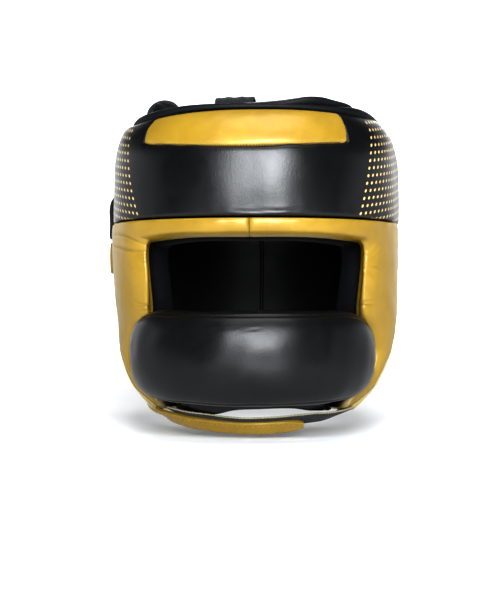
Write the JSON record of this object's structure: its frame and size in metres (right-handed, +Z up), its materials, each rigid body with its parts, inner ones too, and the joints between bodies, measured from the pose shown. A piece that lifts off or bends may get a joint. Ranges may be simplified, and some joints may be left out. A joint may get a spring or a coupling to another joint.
{
  "type": "boxing headgear with face bar",
  "caption": "Padded boxing headgear in black and gold leather with a round padded face bar, ear holes, laced crown, closing straps at the back and a chin strap.",
  "frame": {"origin": "the top of the wearer's head, where it seats under the crown", "axes": "+Z up, -Y towards the face, +X to the wearer's left"},
  "size_m": [0.2252, 0.2623, 0.2426],
  "materials": {
    "gold_leather": "satin gold-coated leather",
    "black_leather": "smooth semi-gloss leather",
    "black_lining": "matt soft lining",
    "black_webbing": "matt woven webbing and lace"
  },
  "bodies": {
    "root": {"forehead_pad": "black_leather", "forehead_insert": "gold_leather", "face_pad_left": "gold_leather", "face_pad_right": "gold_leather", "lining_left": "black_lining", "lining_right": "black_lining", "ear_guard_left": "black_leather", "ear_guard_right": "black_leather", "crown_flap_front": "black_leather", "crown_flap_left": "black_leather", "crown_flap_back": "black_leather", "crown_flap_right": "black_leather", "back_pad_left": "black_leather", "back_pad_right": "black_leather", "back_strap_upper": "black_leather", "back_strap_lower": "gold_leather", "face_bar": "black_leather", "chin_strap": "gold_leather", "chin_strap_loop": "black_webbing", "crown_lace": "black_webbing", "lace_bow": "black_webbing", "lace_keeper_front": "black_webbing", "lace_keeper_left": "black_webbing", "lace_keeper_back": "black_webbing", "lace_keeper_right": "black_webbing"}
  },
  "joints": []
}
